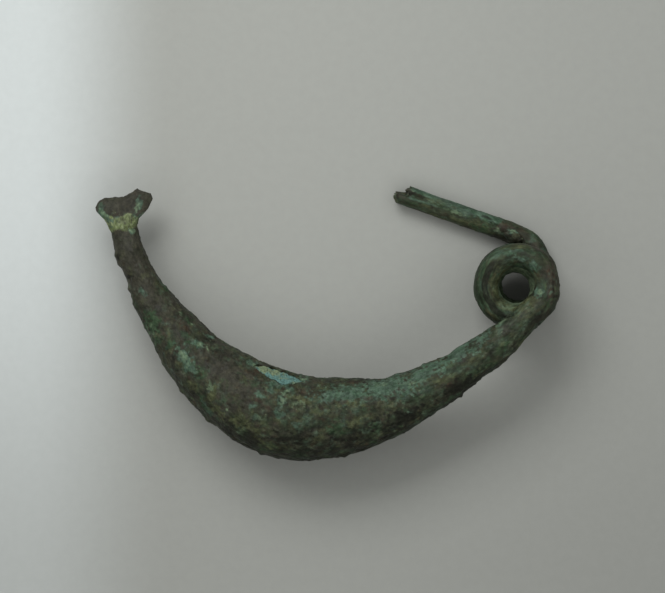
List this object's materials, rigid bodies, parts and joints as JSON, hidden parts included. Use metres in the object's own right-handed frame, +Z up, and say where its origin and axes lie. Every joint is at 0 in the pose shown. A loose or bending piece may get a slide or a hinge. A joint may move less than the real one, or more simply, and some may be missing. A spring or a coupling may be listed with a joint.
{
  "type": "leech fibula",
  "caption": "Bronze leech-shaped brooch lying on its side: swollen hollow bow with a vent, wound wire spring, bent pin with a broken forked end and the root of a catchplate.",
  "frame": {"origin": "on the surface the brooch lies on, below the middle of its bounding box", "axes": "+Z up out of the surface it lies on, across the plane of the bow; +X from the foot to the spring; +Y from the bow to the pin"},
  "size_m": [0.0539, 0.0322, 0.0107],
  "materials": {
    "bow_patina": "bronze under a matt brown crust with green and blue-green patches",
    "stem_patina": "bronze under a green patina with brown and rust specks",
    "plate_patina": "bronze under a dark brown crust, yellow-green at the neck",
    "wire_patina": "bronze wire under a smooth dark green patina",
    "pin_patina": "bronze wire under a green patina, pale along its top",
    "burnt_clay": "burnt clay, brown and crumbly",
    "copper_crust": "pale blue-green mineral crust, chalky",
    "blister_crust": "dark purple-brown corrosion nodule with a pale green spot"
  },
  "bodies": {
    "bow": {"bow_shell": "bow_patina", "casting_core": "burnt_clay", "vent_crust": "copper_crust", "foot_stem": "stem_patina", "catchplate_root": "plate_patina", "tail_stem": "stem_patina", "spring_coil": "wire_patina"},
    "pin": {"pin_knee": "pin_patina", "pin_shank": "pin_patina", "knee_blister": "blister_crust"}
  },
  "joints": [
    {"name": "pin_spring", "type": "hinge", "parent": "bow", "child": "pin", "pos_m": [0.02208, 0.00433, 0.0052], "axis": [0, 0, 1], "range_deg": [-10, 14], "stiffness_Nm_per_rad": 1.9, "deforming": ["spring_coil"]}
  ]
}
